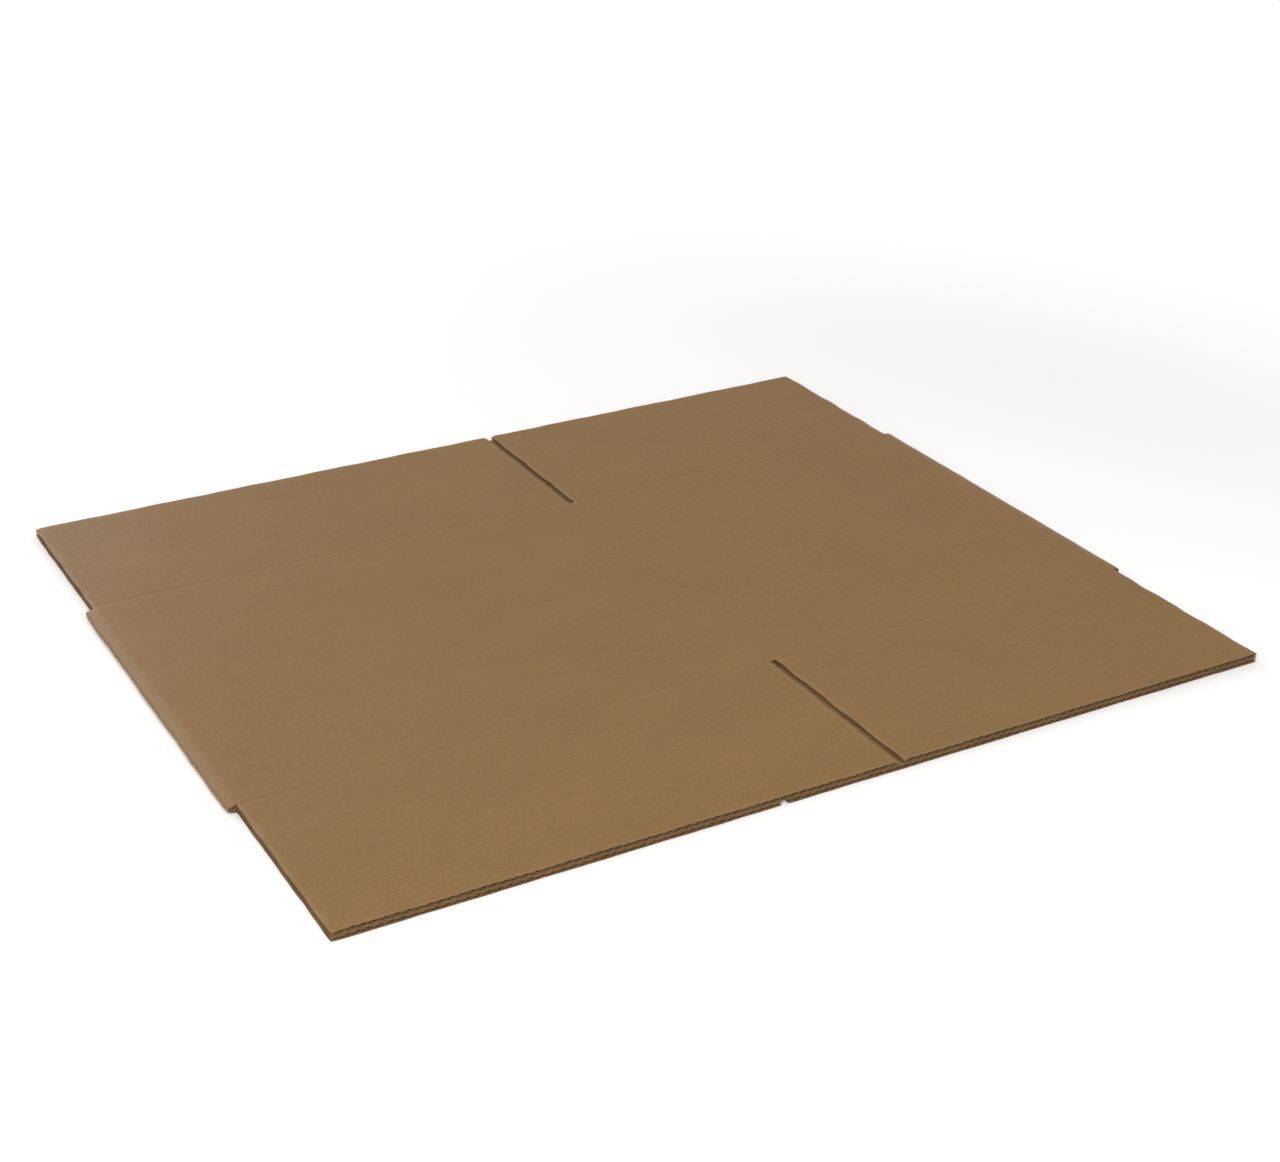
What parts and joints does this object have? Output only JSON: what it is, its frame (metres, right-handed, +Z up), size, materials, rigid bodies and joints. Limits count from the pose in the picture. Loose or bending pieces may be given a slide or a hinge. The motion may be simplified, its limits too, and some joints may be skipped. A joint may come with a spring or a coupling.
{
  "type": "flattened cardboard box",
  "caption": "Slotted box of single-wall corrugated board, glued at its side joint and folded flat, with the flaps of its upper layer free to fold back.",
  "frame": {"origin": "middle of the underside of the flattened box, on the surface that it lies on", "axes": "+X across the folded width from the long panel of the upper layer to its short panel, +Y along the flutes from the front flaps to the back flaps, +Z up"},
  "size_m": [0.81, 0.7, 0.0084],
  "materials": {
    "kraft_board": "matte brown kraft liner over fluting"
  },
  "bodies": {
    "walls": {"folded_body": "kraft_board"},
    "long_front": {"long_flap_front": "kraft_board"},
    "short_front": {"short_flap_front": "kraft_board"},
    "long_back": {"long_flap_back": "kraft_board"},
    "short_back": {"short_flap_back": "kraft_board"}
  },
  "joints": [
    {"name": "long_front_score", "type": "hinge", "parent": "walls", "child": "long_front", "pos_m": [-0.175, -0.175, 0.0079], "axis": [-1, 0, 0], "range_deg": [0, 150]},
    {"name": "short_front_score", "type": "hinge", "parent": "walls", "child": "short_front", "pos_m": [0.225, -0.175, 0.0079], "axis": [-1, 0, 0], "range_deg": [0, 150]},
    {"name": "long_back_score", "type": "hinge", "parent": "walls", "child": "long_back", "pos_m": [-0.175, 0.175, 0.0079], "axis": [1, 0, 0], "range_deg": [0, 150]},
    {"name": "short_back_score", "type": "hinge", "parent": "walls", "child": "short_back", "pos_m": [0.225, 0.175, 0.0079], "axis": [1, 0, 0], "range_deg": [0, 150]}
  ]
}
